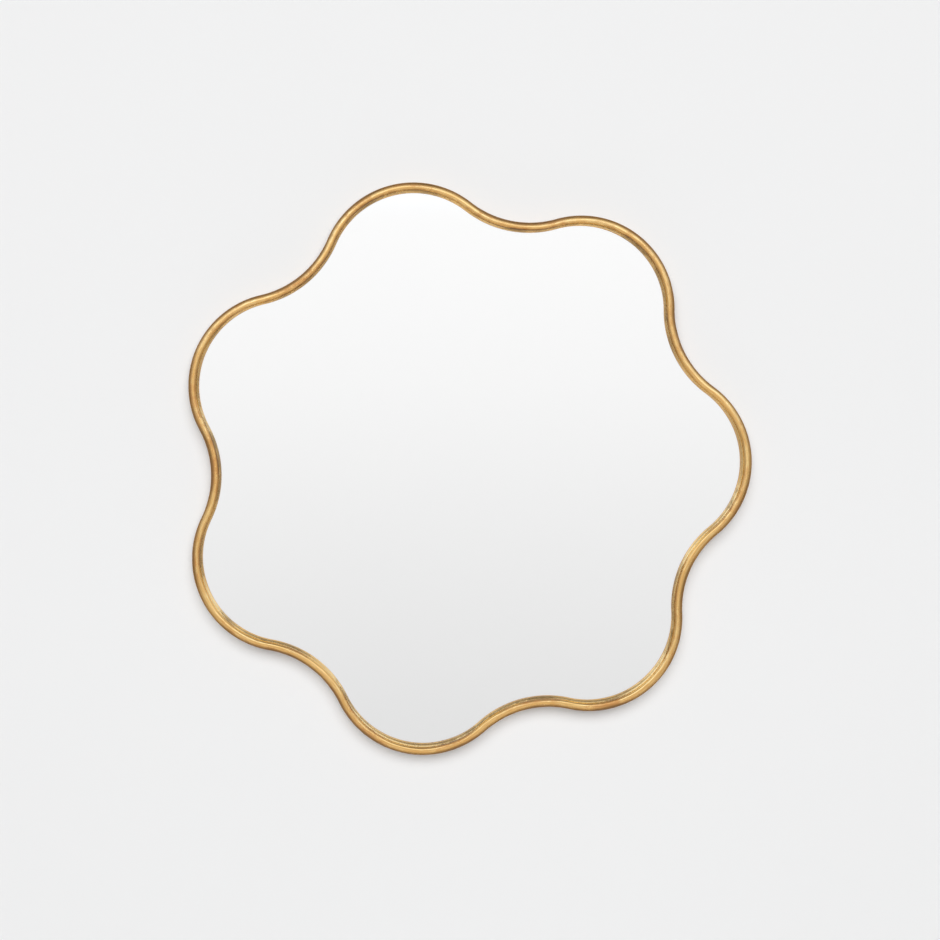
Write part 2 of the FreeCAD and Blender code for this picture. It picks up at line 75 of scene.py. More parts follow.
class Slot(Enum):
    """The finishes of the part's record, named for each piece."""

    GOLD_LEAF = "gold_leaf"
    CLEAR_GLASS = "clear_glass"
    BOARD = "board"
    TAB_STEEL = "tab_steel"
    ZINC_SCREW = "zinc_screw"
    NICKEL_PLATE = "nickel_plate"
    BUMPER_RUBBER = "bumper_rubber"


class Side(Enum):
    """The side of a hanger, as the viewer sees it from the front."""

    LEFT = -1
    RIGHT = 1

    @property
    def word(self) -> str:
        """The side's name, as the nodes spell it."""
        return self.name.lower()


# ---------------------------------------------------------------- shader maths

class Value:
    """A socket of a shader, which Python's operators go on working with."""

    def __init__(self, shader: "Shader", socket: bpy.types.NodeSocket) -> None:
        """Wrap one output socket of a shader."""
        self.shader = shader
        self.socket = socket

    def maths(self, operation: str, first: Any, second: Any) -> "Value":
        """Add one Math node.

        Args:
            operation: The node's operation.
            first: A number or a value.
            second: A number or a value.

        Returns:
            What the node gives.
        """
        return self.shader.node("ShaderNodeMath", {"operation": operation}, {0: first, 1: second})

    def __add__(self, other: Any) -> "Value":
        """self + other."""
        return self.maths("ADD", self, other)

    __radd__ = __add__

    def __sub__(self, other: Any) -> "Value":
        """self - other."""
        return self.maths("SUBTRACT", self, other)

    def __rsub__(self, other: Any) -> "Value":
        """other - self."""
        return self.maths("SUBTRACT", other, self)

    def __mul__(self, other: Any) -> "Value":
        """self * other."""
        return self.maths("MULTIPLY", self, other)

    __rmul__ = __mul__

    def size(self) -> "Value":
        """The value without its sign."""
        return self.maths("ABSOLUTE", self, 0.0)


class Shader:
    """A node tree under construction."""

    def __init__(self, tree: bpy.types.NodeTree) -> None:
        """Start from an empty tree."""
        self.tree = tree
        tree.nodes.clear()

    def node(
        self,
        kind: str,
        settings: dict[str, Any] | None = None,
        inputs: dict[Any, Any] | None = None,
        output: Any = 0,
    ) -> Value:
        """Add a node, set it up, and join it to what it works on.

        Args:
            kind: The node's type.
            settings: The node's own settings, which are set first. "stops" are a ramp's.
            inputs: A number, colour or value for each socket that isn't left as it is.
            output: Name or number of the socket that is wanted.

        Returns:
            The value at that socket.
        """
        node = self.tree.nodes.new(kind)
        for name, setting in (settings or {}).items():
            if name == "stops":
                self.set_stops(node.color_ramp, setting)
            else:
                setattr(node, name, setting)
        for name, source in (inputs or {}).items():
            if isinstance(source, Value):
                self.tree.links.new(source.socket, node.inputs[name])
            else:
                node.inputs[name].default_value = source
        return Value(self, node.outputs[output] if len(node.outputs) else node.inputs[0])

    @staticmethod
    def set_stops(ramp: bpy.types.ColorRamp, stops: Sequence[tuple[float, Colour]]) -> None:
        """Give a colour ramp its stops."""
        for extra in range(len(stops) - 2):
            ramp.elements.new(0.5)
        for element, (position, colour) in zip(ramp.elements, stops):
            element.position = position
            element.color = (*colour, 1)

    def place(self) -> Value:
        """The object's own coordinates."""
        return self.node("ShaderNodeTexCoord", output="Object")

    def grain(self) -> Value:
        """Coordinates that run along the piece: two for the loop's length, one across it."""
        return self.node("ShaderNodeAttribute", {"attribute_name": GRAIN}, output="Vector")

    def stretch(self, where: Value, scale: Sequence[float]) -> Value:
        """Coordinates multiplied axis by axis."""
        return self.node(
            "ShaderNodeVectorMath", {"operation": "MULTIPLY"}, {0: where, 1: tuple(scale)}
        )

    def noise(self, where: Value, scale: float, detail: float = 3.0, rough: float = 0.5) -> Value:
        """Smooth noise between 0 and 1, of about `scale` patches to the metre."""
        inputs = {"Vector": where, "Scale": scale, "Detail": detail, "Roughness": rough}
        return self.node("ShaderNodeTexNoise", None, inputs, "Fac")

    def cells(self, where: Value, scale: float) -> Value:
        """Distance to the nearest of scattered points, about `scale` points to the metre."""
        inputs = {"Vector": where, "Scale": scale}
        return self.node("ShaderNodeTexVoronoi", None, inputs, "Distance")

    def ray(self, what: str) -> Value:
        """What the light's path says of the ray that asks."""
        return self.node("ShaderNodeLightPath", output=what)

    def part(self, where: Value, axis: str) -> Value:
        """One of a vector's three numbers."""
        return self.node("ShaderNodeSeparateXYZ", None, {0: where}, axis)

    def ease(self, value: Value, low: float, high: float) -> Value:
        """A value taken smoothly from 0 at low to 1 at high."""
        return self.node(
            "ShaderNodeMapRange",
            {"interpolation_type": "SMOOTHSTEP"},
            {"Value": value, "From Min": low, "From Max": high},
        )

    def mix(self, share: Any, first: Any, second: Any) -> Value:
        """A colour between two colours, the second one's share growing from 0 to 1."""
        first, second = ((*c, 1) if isinstance(c, tuple) else c for c in (first, second))
        return self.node(
            "ShaderNodeMix", {"data_type": "RGBA"}, {0: share, 6: first, 7: second}, 2
        )

    def bump(self, height: Value, depth: float, under: Value | None = None) -> Value:
        """A bumped normal.

        Args:
            height: Height of the relief, between about 0 and 1.
            depth: How deep the relief is, in metres.
            under: Another bump that this one lies on.

        Returns:
            The normal.
        """
        inputs = {"Strength": 1.0, "Distance": depth, "Height": height}
        if under is not None:
            inputs["Normal"] = under
        return self.node("ShaderNodeBump", None, inputs)


def shade(colour: Colour, factor: float) -> Colour:
    """A colour made lighter or darker."""
    return tuple(factor * part for part in colour)


# ---------------------------------------------------------------- finishes

@dataclass(frozen=True)
class Finish(ABC):
    """A material that is worked out from a few colours and sizes."""

    name: str

    @abstractmethod
    def sockets(self, shader: Shader) -> dict[str, Any]:
        """What the Principled shader's sockets are given."""

    def cover(self, shader: Shader, skin: Value) -> Value:
        """What lies over the skin: nothing, unless a finish says so."""
        return skin

    def make(self) -> bpy.types.Material:
        """Build the material."""
        material = bpy.data.materials.new(self.name)
        material.use_nodes = True
        shader = Shader(material.node_tree)
        inputs = {
            socket: (*source, 1) if isinstance(source, tuple) else source
            for socket, source in self.sockets(shader).items()
        }
        skin = shader.node("ShaderNodeBsdfPrincipled", None, inputs)
        shader.node("ShaderNodeOutputMaterial", None, {"Surface": self.cover(shader, skin)})
        return material


@dataclass(frozen=True)
class GoldLeaf(Finish):
    """Gold leaf over red-brown bole, with paler rubbed streaks and a painted highlight along its
    ridge; umber glaze and painted shade darken its edges, and its turned-in side is painted
    brighter as a painted highlight.

    The two numbers of a range are distances from the ridge, between which its share changes.
    """

    leaf: Colour = (0.76, 0.435, 0.145)
    # pale: paler leaf for the rubbed streaks, and the painted highlight along the ridge
    pale: Colour = (0.93, 0.67, 0.30)
    limb: Colour = (0.84, 0.46, 0.16)
    # inner: a brighter colour painted on the turned-in side that faces the glass, a painted
    # highlight
    inner: Colour = (0.97, 0.65, 0.28)
    bole: Colour = (0.50, 0.21, 0.06)
    # The edges' dark colour: partly an umber glaze and partly painted shade where the bead meets
    # the wall and the glass
    umber_and_shade: Colour = (0.20, 0.115, 0.05)
    speck: Colour = (0.06, 0.03, 0.013)
    ridge: float = 21.5 * MM
    # crown: the band round the ridge over which the painted highlight lies
    crown: Range = (4.6 * MM, 1.4 * MM)
    spared: Range = (4.0 * MM, 1.0 * MM)
    # Where the umber glaze and painted shade come in, outside and inside the ridge
    outer_umber_and_shade: Range = (2.0 * MM, 7.4 * MM)
    inner_umber_and_shade: Range = (4.6 * MM, 7.4 * MM)
    umber_and_shade_wander: float = 8.0 * MM
    # Where the turned-in side is painted brighter, as a painted highlight
    turned_in_highlight: Range = (8.8 * MM, 11.0 * MM)
    roughness: float = 0.22
    rubbed: Range = (0.45, 0.57)
    broad_scale: float = 11.0
    mottle_scale: float = 95.0
    streak_scale: tuple[float, float] = (14.0, 420.0)
    hair_scale: tuple[float, float] = (60.0, 1092.0)
    pit_scale: float = 260.0
    pit_patches: float = 38.0
    relief: float = 0.11 * MM
    waves: float = 1.32 * MM

    def sockets(self, shader: Shader) -> dict[str, Any]:
        """The leaf's colour, wear and relief."""
        grain = shader.grain()
        broad = shader.noise(grain, self.broad_scale, 3, 0.55)
        mottle = shader.noise(grain, self.mottle_scale, 4, 0.6)
        streaks, hairs = (
            shader.noise(shader.stretch(grain, (along, along, across)), 1, detail, 0.6)
            for (along, across), detail in ((self.streak_scale, 4), (self.hair_scale, 3))
        )
        across = shader.part(grain, "Z") - self.ridge
        # How far the edges of the umber glaze and painted shade wander
        drift = self.umber_and_shade_wander * broad - self.umber_and_shade_wander / 2
        # The turned-in side, which is painted brighter as a painted highlight
        turned_in_highlight = shader.ease(across, *self.turned_in_highlight)
        outer = shader.ease(drift - across, *self.outer_umber_and_shade)
        inner = shader.ease(drift + across, *self.inner_umber_and_shade)
        wear = 0.45 * streaks + 0.35 * broad + 0.20 * mottle
        worn = shader.ease(wear - 0.03 * shader.ease(across.size(), *self.spared), *self.rubbed)
        # bright: the painted highlight, strongest on the ridge
        bright = shader.ease(across.size(), *self.crown)
        # light: the share of pale leaf, from random rubbed streaks plus the painted highlight on
        # the ridge
        light = shader.ease(0.5 * hairs + 0.5 * streaks, 0.44, 0.60)
        light = light * (0.65 + 0.25 * bright) + 0.05 * bright
        pits = shader.ease(shader.cells(grain, self.pit_scale), 0.16, 0.05)
        pits = pits * shader.ease(shader.noise(grain, self.pit_patches, 2), 0.56, 0.66)
        colour = shader.mix(light, self.leaf, self.pale)
        for share, layer in (
            (0.80 * worn, self.bole),
            # umber glaze and painted shade on the edges, held back on the turned-in side
            (0.86 * (outer + inner * (1 - turned_in_highlight)), self.umber_and_shade),
            # the turned-in side painted brighter, a painted highlight
            (0.85 * turned_in_highlight, self.inner),
            (0.75 * pits, self.speck),
        ):
            colour = shader.mix(share, colour, layer)
        relief = 0.45 * streaks + 0.20 * hairs + 0.35 * mottle - 0.5 * pits
        return {
            "Base Color": colour,
            "Metallic": 1.0 - 0.55 * worn - 0.3 * pits,
            "Specular Tint": self.limb,
            "Roughness": self.roughness + 0.16 * worn + 0.10 * (mottle - 0.5) + 0.25 * pits,
            "Normal": shader.bump(relief, self.relief, shader.bump(broad, self.waves)),
        }


@dataclass(frozen=True)
class ClearGlass(Finish):
    """Clear float glass, with a trace of dust and smears."""

    tint: Colour = (0.985, 0.995, 0.99)
    dusty: Colour = (0.8, 0.8, 0.8)
    dust_share: float = 0.02
    dust_scale: float = 340.0
    smear_scale: float = 3.1
    ior: float = 1.5

    def sockets(self, shader: Shader) -> dict[str, Any]:
        """The glass's body and its dust."""
        dust = shader.noise(shader.place(), self.dust_scale, 4, 0.65)
        smear = shader.ease(shader.noise(shader.place(), self.smear_scale, 4, 0.6), 0.45, 0.8)
        return {
            "Base Color": shader.mix(self.dust_share * smear * dust, self.tint, self.dusty),
            "Roughness": 0.0,
            "IOR": self.ior,
            "Transmission Weight": 1.0,
        }


@dataclass(frozen=True)
class Silvering(Finish):
    """Silver behind glass, with the grey-brown paint that keeps its back."""

    silver: Colour = (0.970, 0.962, 0.966)
    paint: Colour = (0.23, 0.21, 0.20)
    paint_roughness: float = 0.62
    cloud_scale: float = 21.0

    def sockets(self, shader: Shader) -> dict[str, Any]:
        """Silver where the sheet faces the viewer, paint where it faces the wall."""
        facing = shader.node("ShaderNodeNewGeometry", output="Normal")
        back = shader.ease(shader.part(facing, "Y"), -0.5, 0.5)
        cloud = shader.noise(shader.place(), self.cloud_scale, 4, 0.6)
        paint = shader.mix(cloud, self.paint, shade(self.paint, 1.25))
        return {
            "Base Color": shader.mix(back, self.silver, paint),
            "Metallic": 1.0 - back,
            "Roughness": self.paint_roughness * back,
        }


@dataclass(frozen=True)
class FoamSkin(Finish):
    """White closed-cell foam sheet."""

    white: Colour = (0.74, 0.74, 0.72)
    bubble_scale: float = 900.0
    tone_scale: float = 14.0
    relief: float = 0.2 * MM

    def sockets(self, shader: Shader) -> dict[str, Any]:
        """The foam's bubbles and tone."""
        bubbles = shader.cells(shader.place(), self.bubble_scale)
        tone = shader.noise(shader.place(), self.tone_scale, 3)
        return {
            "Base Color": shader.mix(tone, self.white, shade(self.white, 0.88)),
            "Roughness": 0.72 + 0.2 * bubbles,
            "Normal": shader.bump(bubbles, self.relief),
        }


@dataclass(frozen=True)
class FibreBoard(Finish):
    """Brown fibreboard, sanded on its faces: felted fibres, flecks of bark and a soft mottle."""

    pale: Colour = (0.42, 0.285, 0.165)
    dark: Colour = (0.27, 0.165, 0.085)
    bark: Colour = (0.085, 0.05, 0.028)
    felt_scale: float = 620.0
    cross_scale: float = 480.0
    mottle_scale: float = 7.0
    fleck_scale: float = 310.0
    fleck_patches: float = 45.0
    sanding_scale: float = 1500.0
    relief: float = 0.12 * MM

    def sockets(self, shader: Shader) -> dict[str, Any]:
        """The board's fibres, flecks and sanding marks."""
        where = shader.place()
        felt = shader.noise(shader.stretch(where, (1.0, 1.0, 3.2)), self.felt_scale, 5, 0.7)
        cross = shader.noise(shader.stretch(where, (3.0, 1.0, 1.0)), self.cross_scale, 5, 0.7)
        mottle = shader.noise(where, self.mottle_scale, 4, 0.6)
        specks = shader.cells(shader.stretch(where, (1.0, 1.0, 2.4)), self.fleck_scale)
        patches = shader.noise(where, self.fleck_patches, 3, 0.6)
        fleck = shader.ease(specks, 0.17, 0.06) * shader.ease(patches, 0.50, 0.60)
        sanding = shader.noise(shader.stretch(where, (self.sanding_scale, 1.0, 3.0)), 1, 2, 0.5)
        tone = 0.42 * felt + 0.30 * cross + 0.28 * mottle
        colour = shader.mix(shader.ease(tone, 0.36, 0.64), self.dark, self.pale)
        return {
            "Base Color": shader.mix(fleck * 0.7, colour, self.bark),
            "Roughness": 0.70 + 0.16 * felt,
            "Normal": shader.bump(0.5 * felt + 0.3 * cross + 0.2 * sanding, self.relief),
        }


@dataclass(frozen=True)
class PlatedMetal(Finish):
    """Plated steel: a bright skin with drawn or rolled lines, dull patches and a few rubs."""

    bright: Colour
    dull: Colour
    roughness: float
    patches: float = 90.0
    spangle: float = 0.0
    lines: tuple[float, float, float] = (90.0, 90.0, 1500.0)
    flake_scale: float = 420.0
    relief: float = 0.02 * MM

    def sockets(self, shader: Shader) -> dict[str, Any]:
        """The plating's lines, patches and rubs."""
        where = shader.place()
        rolled = shader.noise(shader.stretch(where, self.lines), 1, 4, 0.6)
        patch = shader.noise(where, self.patches, 4, 0.6)
        flakes = shader.cells(where, self.flake_scale)
        scuff = shader.ease(shader.noise(where, 2.4 * self.patches, 5, 0.7), 0.58, 0.70)
        dulled = shader.ease(patch + self.spangle * (flakes - 0.4), 0.42, 0.66)
        return {
            "Base Color": shader.mix(dulled, self.bright, self.dull),
            "Metallic": 1.0,
            "Roughness": self.roughness + 0.14 * dulled + 0.10 * scuff + 0.06 * rolled,
            "Normal": shader.bump(0.7 * rolled + 0.3 * scuff, self.relief),
        }


@dataclass(frozen=True)
class BumperRubber(Finish):
    """Soft dark grey rubber with a fine moulded skin and a little dust."""

    rubber: Colour = (0.036, 0.036, 0.038)
    dust: Colour = (0.12, 0.115, 0.105)
    skin_scale: float = 1900.0
    dust_scale: float = 150.0
    relief: float = 0.05 * MM

    def sockets(self, shader: Shader) -> dict[str, Any]:
        """The rubber's skin and dust."""
        skin = shader.noise(shader.place(), self.skin_scale, 3, 0.6)
        dusty = shader.ease(shader.noise(shader.place(), self.dust_scale, 5, 0.65), 0.44, 0.72)
        return {
            "Base Color": shader.mix(dusty * 0.6, self.rubber, self.dust),
            "Roughness": 0.52 + 0.25 * dusty + 0.08 * skin,
            "Normal": shader.bump(skin, self.relief),
        }


@dataclass(frozen=True)
class PaintedWall(Finish):
    """Matt off-white wall paint. From behind, a camera sees through it to the mirror's back."""

    paint: Colour = (0.86, 0.862, 0.864)
    tone_scale: float = 1.3
    roller_scale: float = 260.0
    relief: float = 0.03 * MM

    def sockets(self, shader: Shader) -> dict[str, Any]:
        """The paint's tone and the roller's marks."""
        tone = shader.noise(shader.place(), self.tone_scale, 3)
        roller = shader.noise(shader.place(), self.roller_scale, 4, 0.6)
        return {
            "Base Color": shader.mix(tone, self.paint, shade(self.paint, 0.985)),
            "Roughness": 0.9,
            "Specular IOR Level": 0.0,
            "Normal": shader.bump(roller, self.relief),
        }

    def cover(self, shader: Shader, skin: Value) -> Value:
        """The paint, clear to a camera behind it."""
        behind = shader.node("ShaderNodeNewGeometry", output="Backfacing")
        clear = shader.node("ShaderNodeBsdfTransparent")
        inputs = {0: shader.ray("Is Camera Ray") * behind, 1: skin, 2: clear}
        return shader.node("ShaderNodeMixShader", None, inputs)


@dataclass(frozen=True)
class PaleFloor(Finish):
    """Plain pale studio floor."""

    paint: Colour = (0.80, 0.80, 0.795)
    tone_scale: float = 2.0

    def sockets(self, shader: Shader) -> dict[str, Any]:
        """The floor's tone."""
        tone = shader.noise(shader.place(), self.tone_scale, 4)
        return {
            "Base Color": shader.mix(tone, self.paint, shade(self.paint, 0.97)),
            "Roughness": 0.65,
        }


# ---------------------------------------------------------------- meshes

GRAIN = "grain"


def depth_point(x: float, z: float, depth: float) -> Vector:
    """A point at a depth in front of the wall."""
    return Vector((x, -depth, z))


def around(profile: Profile) -> list[float]:
    """Distance of each corner of a profile from its first, measured along it."""
    lengths = [0.0]
    for before, after in zip(profile, profile[1:]):
        lengths.append(lengths[-1] + math.dist(before, after))
    return lengths


def piece(
    name: str,
    points: Sequence[Vector],
    faces: Sequence[Sequence[int]],
    material: bpy.types.Material,
    crease: float = 35.0,
    grain: Sequence[Sequence[float]] | None = None,
) -> bpy.types.Object:
    """Make an object of points and faces, smooth but for its sharp edges.

    Args:
        name: The piece's name.
        points: Its points, in the part's frame.
        faces: Its faces, as numbers of points, facing outwards.
        material: Its finish.
        crease: Angle from which an edge stays sharp, in degrees.
        grain: Coordinates along the piece for each point, for finishes that follow it.

    Returns:
        The object.
    """
    mesh = bpy.data.meshes.new(name)
    mesh.from_pydata([tuple(point) for point in points], [], faces)
    mesh.materials.append(material)
    if grain is not None:
        attribute = mesh.attributes.new(GRAIN, "FLOAT_VECTOR", "POINT")
        attribute.data.foreach_set("vector", [number for row in grain for number in row])
    mesh.shade_smooth()
    mesh.set_sharp_from_angle(angle=math.radians(crease))
    mesh.validate()
    made = bpy.data.objects.new(name, mesh)
    bpy.context.scene.collection.objects.link(made)
    return made


def ring_faces(rings: int, corners: int, closed: bool) -> list[tuple[int, ...]]:
    """Four-sided faces between rings of points, each ring closed on itself.

    Args:
        rings: How many rings.
        corners: How many points a ring has.
        closed: Whether the last ring joins the first.

    Returns:
        The faces.
    """
    faces = []
    for ring in range(rings if closed else rings - 1):
        this, following = ring * corners, (ring + 1) % rings * corners
        for corner in range(corners):
            other = (corner + 1) % corners
            faces.append((this + corner, this + other, following + other, following + corner))
    return faces


def shell_faces(rings: int, corners: int, turned: bool = False) -> list[tuple[int, ...]]:
    """Faces between rings of points, with a face over each end.

    Args:
        rings: How many rings.
        corners: How many points a ring has.
        turned: Whether the faces are turned round, for rings that run the other way.

    Returns:
        The faces.
    """
    last = (rings - 1) * corners
    faces = ring_faces(rings, corners, closed=False)
    faces += [tuple(reversed(range(corners))), tuple(range(last, last + corners))]
    return [tuple(reversed(face)) for face in faces] if turned else faces


def arc(middle: Sequence[float], radius: float, degrees: Iterable[float]) -> Profile:
    """Points round a middle, at the given angles."""
    turns = [math.radians(angle) for angle in degrees]
    return [
        (middle[0] + radius * math.cos(turn), middle[1] + radius * math.sin(turn))
        for turn in turns
    ]


def soften(made: bpy.types.Object, width: float) -> None:
    """Round a piece's sharp edges a little, as a tool or a file leaves them."""
    bevel = made.modifiers.new("softened edges", "BEVEL")
    bevel.width = width
    bevel.segments = 2
    bevel.limit_method = "ANGLE"
    bevel.angle_limit = math.radians(40)
    bevel.harden_normals = True


def settle(made: bpy.types.Object, body: str, slot: Slot, *nodes: str) -> None:
    """Let a piece ride on its body and stand for CAD nodes."""
    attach(made, body)
    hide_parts(*nodes)
    LOG.info("%s rides on %s for %s", made.name, body, ", ".join(nodes))


# ---------------------------------------------------------------- the wavy outline

@dataclass(frozen=True)
class Station:
    """A place on the bead's middle line."""

    point: Vector
    outward: Vector
    along: float

    def at(self, out: float, depth: float) -> Vector:
        """The point a distance outside the line, at a depth in front of the wall."""
        place = self.point + self.outward * out
        return depth_point(place.x, place.y, depth)


@dataclass(frozen=True)
class Outline:
    """The closed line of the bead's middle: lobes and valleys, each an arc tangent to the next."""

    lobes: int = 7
    ring: float = 316.1 * MM
    lobe_radius: float = 142.8 * MM
    valley_radius: float = 160.5 * MM
    turn_degrees: float = 1.5
    lobe_out_mm: tuple[float, ...] = (-0.7, 1.9, 0.1, 0.1, 1.6, 1.3, -0.1)
    lobe_side_mm: tuple[float, ...] = (0.2, -0.1, -1.3, -0.5, 0.8, 0.5, 1.0)

    def lobe(self, number: int) -> Vector:
        """Middle of a lobe's bend."""
        number %= self.lobes
        angle = math.radians(self.turn_degrees + 360 * number / self.lobes)
        out = self.ring + self.lobe_out_mm[number] * MM
        side = self.lobe_side_mm[number] * MM
        cos, sin = math.cos(angle), math.sin(angle)
        return Vector((out * cos - side * sin, out * sin + side * cos))

    def valley(self, number: int) -> Vector:
        """Middle of the bend of the valley after a lobe, outside the outline."""
        first, second = self.lobe(number), self.lobe(number + 1)
        along = second - first
        reach = self.lobe_radius + self.valley_radius
        outward = Vector((along.y, -along.x)).normalized()
        return (first + second) / 2 + outward * math.sqrt(reach**2 - (along.length / 2) ** 2)

    def bends(self) -> Iterable[tuple[Vector, float, float, float]]:
        """Each bend in turn: its middle, its radius, and its first and last heading."""
        for number in range(self.lobes):
            lobe, before = self.lobe(number), self.valley(number - 1)
            valley, after = self.valley(number), self.lobe(number + 1)
            start, end = heading(lobe, before), heading(lobe, valley)
            yield lobe, self.lobe_radius, start, start + (end - start) % (2 * math.pi)
            start, end = heading(valley, lobe), heading(valley, after)
            yield valley, self.valley_radius, start, start - (start - end) % (2 * math.pi)

    def stations(self, step: float) -> list[Station]:
        """Places along the whole line, about a step apart."""
        places, along = [], 0.0
        for middle, radius, start, end in self.bends():
            length = abs(end - start) * radius
            count = max(3, round(length / step))
            outside = 1 if end > start else -1
            for number in range(count):
                angle = start + (end - start) * number / count
                ray = Vector((math.cos(angle), math.sin(angle)))
                here = along + length * number / count
                places.append(Station(middle + ray * radius, ray * outside, here))
            along += length
        return places

    def length(self) -> float:
        """Length of the whole line."""
        return sum(abs(end - start) * radius for _, radius, start, end in self.bends())


def heading(start: Vector, end: Vector) -> float:
    """Angle of the line from start to end, in radians."""
    return math.atan2(end.y - start.y, end.x - start.x)


@dataclass
class Course:
    """The outline with its stations, which pieces follow all the way round."""

    outline: Outline = field(default_factory=Outline)
    step: float = 2.5 * MM

    def __post_init__(self) -> None:
        """Work the stations out once."""
        self.stations = self.outline.stations(self.step)
        self.length = self.outline.length()

    def grain(self, along: float, across: float) -> tuple[float, float, float]:
        """Grain coordinates, which meet where the loop closes."""
        angle = 2 * math.pi * along / self.length
        reach = self.length / (2 * math.pi)
        return reach * math.cos(angle), reach * math.sin(angle), across

    def sweep(
        self, name: str, profiles: Sequence[Profile], material: bpy.types.Material, crease: float
    ) -> bpy.types.Object:
        """Sweep a closed profile all round.

        Args:
            name: The piece's name.
            profiles: For each station the profile, as distances outside the line and depths.
            material: Its finish.
            crease: Angle from which an edge stays sharp, in degrees.

        Returns:
            The piece.
        """
        points, grain = [], []
        for station, profile in zip(self.stations, profiles):
            points += [station.at(out, depth) for out, depth in profile]
            grain += [self.grain(station.along, across) for across in around(profile)]
        faces = ring_faces(len(self.stations), len(profiles[0]), closed=True)
        return piece(name, points, faces, material, crease, grain)

    def plate(
        self,
        name: str,
        out: float,
        depths: Range,
        taken_off: float,
        parts: int,
        material: bpy.types.Material,
        crease: float,
    ) -> bpy.types.Object:
        """Make a flat plate of the outline.

        Args:
            name: The piece's name.
            out: How far its edge lies outside the line.
            depths: Depths of its back and its front.
            taken_off: How much is taken off its corners.
            parts: How many flats a corner has: one is an arris, and more are round.
            material: Its finish.
            crease: Angle from which an edge stays sharp, in degrees.

        Returns:
            The piece.
        """
        back, front = depths
        turns = range(0, 91, 90 // parts)
        rows = arc((out - taken_off, back + taken_off), taken_off, (turn - 90 for turn in turns))
        rows += arc((out - taken_off, front - taken_off), taken_off, turns)
        points, grain = [], []
        for (reach, depth), across in zip(rows, around(rows)):
            points += [station.at(reach, depth) for station in self.stations]
            grain += [self.grain(station.along, across) for station in self.stations]
        faces = shell_faces(len(rows), len(self.stations), turned=True)
        return piece(name, points, faces, material, crease, grain)


@dataclass(frozen=True)
class Wander:
    """A slow drift to and fro along the course, which meets itself where the loop closes."""

    reach: float
    pace: float
    seed: float

    def at(self, course: Course, along: float, beside: float = 0.0) -> float:
        """How far it has drifted at a place, and beside that place."""
        x, y, _ = course.grain(along, 0)
        return self.reach * noise.noise(Vector((x * self.pace, y * self.pace, self.seed + beside)))


# ---------------------------------------------------------------- the gilded frame

@dataclass
class Frame:
    """The round bead and the flat band behind it, both of them bent by hand."""

    course: Course
    bead_radius: float = 6.42 * MM
    bead_depth: float = 23.9 * MM
    bead_corners: int = 44
    sway: Wander = Wander(0.045 * MM, 14, 3.7)
    lift: Wander = Wander(0.045 * MM, 11, 8.1)
    ripple: Wander = Wander(0.02 * MM, 45, 20)
    lean: float = 2.0 * MM
    lean_drift: Wander = Wander(0.8 * MM, 24, 12.4)
    band_outer: float = 6.0 * MM
    band_inner: float = 4.5 * MM
    band_back: float = 3.0 * MM
    band_round: float = 0.4 * MM
    weld_depth: float = 19.6 * MM
    weld_bulge: Wander = Wander(0.10 * MM, 130, 5.5)
    weld_outside: tuple[tuple[float, float, float], ...] = (
        (0.0, 0.0, 0), (0.04 * MM, 0.9 * MM, 0), (0.16 * MM, 1.7 * MM, 1), (0.10 * MM, 2.7 * MM, 0)
    )
    weld_inside: tuple[Range, ...] = ((0.5 * MM, 2.6 * MM), (0.0, -0.2 * MM))
    bead_gold: GoldLeaf = GoldLeaf("gold_leaf_bead")
    # The band's leaf has the bead's painted highlight along a ridge, umber glaze with painted
    # shade at its edges and a brighter painted turned-in side.
    band_gold: GoldLeaf = GoldLeaf(
        "gold_leaf_band",
        ridge=10.0 * MM,
        outer_umber_and_shade=(5.0 * MM, 10.0 * MM),
        inner_umber_and_shade=(5.5 * MM, 10.0 * MM),
        turned_in_highlight=(20.0 * MM, 24.0 * MM),
        roughness=0.34,
        streak_scale=(14.0, 300.0),
        hair_scale=(60.0, 780.0),
    )

    def bead(self) -> None:
        """The bead: a hand-bent tube whose ridge, where the highlight is painted, leans inwards
        and wanders a little.
        """
        profiles = []
        for station in self.course.stations:
            here = self.course, station.along
            sway, lift = self.sway.at(*here), self.lift.at(*here)
            lean = self.lean + self.lean_drift.at(*here)
            profile = []
            for corner in range(self.bead_corners):
                angle = 2 * math.pi * corner / self.bead_corners - math.pi / 2
                cos, sin = math.cos(angle), math.sin(angle)
                radius = self.bead_radius + self.ripple.at(*here, beside=cos)
                out = sway + radius * cos - lean * max(0.0, sin) ** 2
                profile.append((out, self.bead_depth + lift + radius * sin))
            profiles.append(profile)
        made = self.course.sweep("gilded_bead", profiles, self.bead_gold.make(), crease=60)
        settle(made, MIRROR, Slot.GOLD_LEAF, "frame_bead")

    def band(self) -> None:
        """The band, with its rounded back edge and the dressed weld that joins it to the bead.

        A point of the weld has its distances from the band's side and from the weld's depth.
        The ones outside also have how much they follow the weld's bulge.
        """
        inner, outer, turn = self.band_inner, self.band_outer, self.band_round
        back, weld = self.band_back + turn, self.weld_depth
        edge = arc((inner + turn, back), turn, (180, 210, 240, 270))
        edge += arc((outer - turn, back), turn, (-90, -60, -30, 0))
        profiles = []
        for station in self.course.stations:
            bulge = self.weld_bulge.at(self.course, station.along)
            seam = [(outer + x + swell * bulge, weld + up) for x, up, swell in self.weld_outside]
            seam += [(inner + x, weld + up) for x, up in self.weld_inside]
            profiles.append([*edge, *seam])
        made = self.course.sweep("gilded_band", profiles, self.band_gold.make(), crease=50)
        settle(made, MIRROR, Slot.GOLD_LEAF, "frame_band")

    def build(self) -> None:
        """Make the frame's pieces."""
        self.bead()
        self.band()


# ---------------------------------------------------------------- pane and backing

